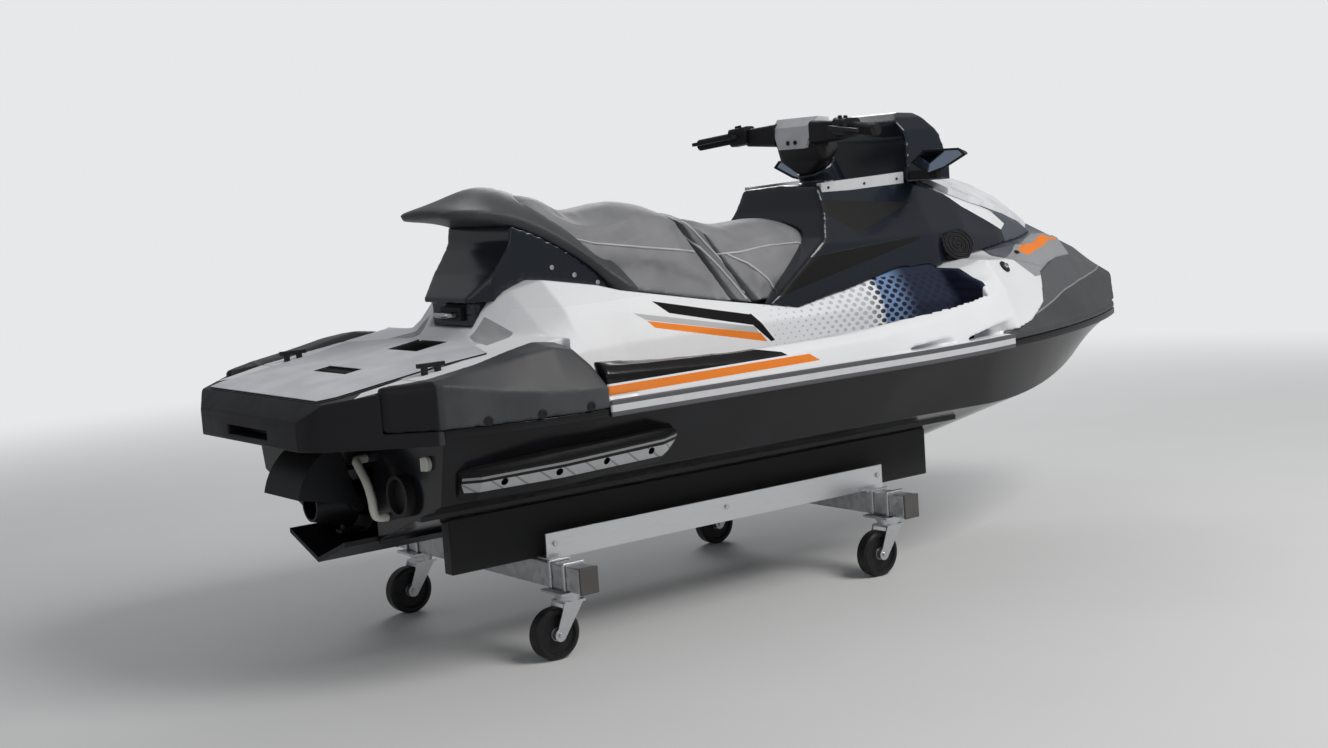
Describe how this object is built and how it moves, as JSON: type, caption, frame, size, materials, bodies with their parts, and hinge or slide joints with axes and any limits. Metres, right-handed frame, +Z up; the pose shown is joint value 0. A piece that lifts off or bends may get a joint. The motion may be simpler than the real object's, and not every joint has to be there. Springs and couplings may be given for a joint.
{
  "type": "personal watercraft on shop dolly",
  "caption": "Runabout watercraft with stepped seat, handlebar, mirrors, lidded bow bin and jet pump, resting on a wheeled dolly with padded bunks and swivel casters.",
  "frame": {"origin": "on the floor, below the middle of the craft's length and beam", "axes": "+X towards the bow, +Y to port, +Z up"},
  "size_m": [3.145, 1.18, 1.288],
  "materials": {
    "gelcoat_black": "gloss black moulded hull skin",
    "gelcoat_white": "gloss white moulding",
    "bumper_grey": "satin dark grey moulding",
    "rail_silver": "silver grey strip with a darker band",
    "seat_dark": "dark grey marine vinyl over foam",
    "seat_light": "light grey marine vinyl over foam",
    "cowl_black": "gloss black cowl",
    "cowl_white": "gloss white lid with an orange edge stripe",
    "trim_black": "grained black plastic",
    "screen": "dark instrument window",
    "steel_black": "black powder coat",
    "bar_metal": "anodised tube",
    "grip_rubber": "ribbed rubber",
    "pad_silver": "brushed plate over black foam",
    "mirror_face": "silvered glass",
    "mat_grey": "embossed grey foam mat",
    "mat_black": "embossed dark foam mat",
    "accent_orange": "grey panel with an orange stripe",
    "sponson_grey": "light grey moulding",
    "cast_alloy": "cast alloy, dull",
    "bright_steel": "polished stainless steel",
    "hose_grey": "pale hose",
    "plug_white": "pale plug",
    "engine_block": "painted casting",
    "galvanised": "galvanised steel",
    "cap_black": "black moulded cap",
    "carpet_black": "black marine carpet over timber",
    "rail_alloy": "mill finish angle",
    "zinc": "bright zinc plate",
    "wheel_rubber": "black rubber tread on a black core"
  },
  "bodies": {
    "craft": {"bailer_hose": "hose_grey", "beam_caps": "cap_black", "beam_straps": "zinc", "bow_bumper": "bumper_grey", "bunks": "carpet_black", "caster_plates": "zinc", "cleats": "trim_black", "console": "cowl_black", "console_trims": "rail_silver", "crossbeams": "galvanised", "deck": "gelcoat_white", "deck_mat": "mat_grey", "display": "screen", "drain_plugs": "plug_white", "engine": "engine_block", "exhaust_outlet": "trim_black", "flank_pods": "trim_black", "footwell_mats": "mat_black", "front_seat": "seat_dark", "grab_cover": "bumper_grey", "hull": "gelcoat_black", "instrument_hood": "cowl_black", "intake_grate": "cast_alloy", "mirror_glasses": "mirror_face", "mirror_housing_left": "trim_black", "mirror_housing_right": "trim_black", "nose_panels": "accent_orange", "pump_housing": "cast_alloy", "rail_bolts": "zinc", "rear_fender_left": "bumper_grey", "rear_fender_right": "bumper_grey", "rear_seat": "seat_dark", "ride_plate": "cast_alloy", "rub_rails": "rail_silver", "seat_band": "seat_light", "side_rails": "rail_alloy", "sponsons": "sponson_grey", "stern_bumper": "bumper_grey", "tail_pedestal": "cowl_black", "tow_hook": "bright_steel"},
    "steering": {"steering_column": "steel_black", "handlebar": "bar_metal", "grips": "grip_rubber", "control_pods": "trim_black", "bar_pad": "pad_silver"},
    "nozzle": {"steering_nozzle": "cast_alloy"},
    "bucket": {"reverse_bucket": "cast_alloy"},
    "impeller": {"impeller": "bright_steel"},
    "hatch": {"front_hatch": "cowl_white"},
    "fork_rear_left": {"caster_fork_rear_left": "zinc"},
    "wheel_rear_left": {"caster_wheel_rear_left": "wheel_rubber"},
    "fork_rear_right": {"caster_fork_rear_right": "zinc"},
    "wheel_rear_right": {"caster_wheel_rear_right": "wheel_rubber"},
    "fork_front_left": {"caster_fork_front_left": "zinc"},
    "wheel_front_left": {"caster_wheel_front_left": "wheel_rubber"},
    "fork_front_right": {"caster_fork_front_right": "zinc"},
    "wheel_front_right": {"caster_wheel_front_right": "wheel_rubber"}
  },
  "joints": [
    {"name": "steering_turn", "type": "hinge", "parent": "craft", "child": "steering", "pos_m": [0.215, 0, 1.24], "axis": [-0.5, 0, 0.866], "range_deg": [-22, 22]},
    {"name": "nozzle_turn", "type": "hinge", "parent": "craft", "child": "nozzle", "pos_m": [-1.345, 0, 0.412], "axis": [0, 0, 1], "range_deg": [-22, 22]},
    {"name": "reverse_lower", "type": "hinge", "parent": "craft", "child": "bucket", "pos_m": [-1.345, 0, 0.412], "axis": [0, -1, 0], "range_deg": [0, 60]},
    {"name": "impeller_spin", "type": "hinge", "parent": "craft", "child": "impeller", "pos_m": [-1.2, 0, 0.412], "axis": [1, 0, 0], "continuous": true},
    {"name": "hatch_lift", "type": "hinge", "parent": "craft", "child": "hatch", "pos_m": [1.094, 0, 0.9], "axis": [0, 1, 0], "range_deg": [0, 60]},
    {"name": "swivel_rear_left", "type": "hinge", "parent": "craft", "child": "fork_rear_left", "pos_m": [-0.943, 0.365, 0.145], "axis": [0, 0, 1], "continuous": true},
    {"name": "roll_rear_left", "type": "hinge", "parent": "fork_rear_left", "child": "wheel_rear_left", "pos_m": [-0.991, 0.365, 0.0635], "axis": [0, 1, 0], "continuous": true},
    {"name": "swivel_rear_right", "type": "hinge", "parent": "craft", "child": "fork_rear_right", "pos_m": [-0.943, -0.365, 0.145], "axis": [0, 0, 1], "continuous": true},
    {"name": "roll_rear_right", "type": "hinge", "parent": "fork_rear_right", "child": "wheel_rear_right", "pos_m": [-0.991, -0.365, 0.0635], "axis": [0, 1, 0], "continuous": true},
    {"name": "swivel_front_left", "type": "hinge", "parent": "craft", "child": "fork_front_left", "pos_m": [0.136, 0.365, 0.145], "axis": [0, 0, 1], "continuous": true},
    {"name": "roll_front_left", "type": "hinge", "parent": "fork_front_left", "child": "wheel_front_left", "pos_m": [0.088, 0.365, 0.0635], "axis": [0, 1, 0], "continuous": true},
    {"name": "swivel_front_right", "type": "hinge", "parent": "craft", "child": "fork_front_right", "pos_m": [0.136, -0.365, 0.145], "axis": [0, 0, 1], "continuous": true},
    {"name": "roll_front_right", "type": "hinge", "parent": "fork_front_right", "child": "wheel_front_right", "pos_m": [0.088, -0.365, 0.0635], "axis": [0, 1, 0], "continuous": true}
  ],
  "couplings": [
    {"joint": "nozzle_turn", "follows": "steering_turn", "ratio": -1}
  ]
}
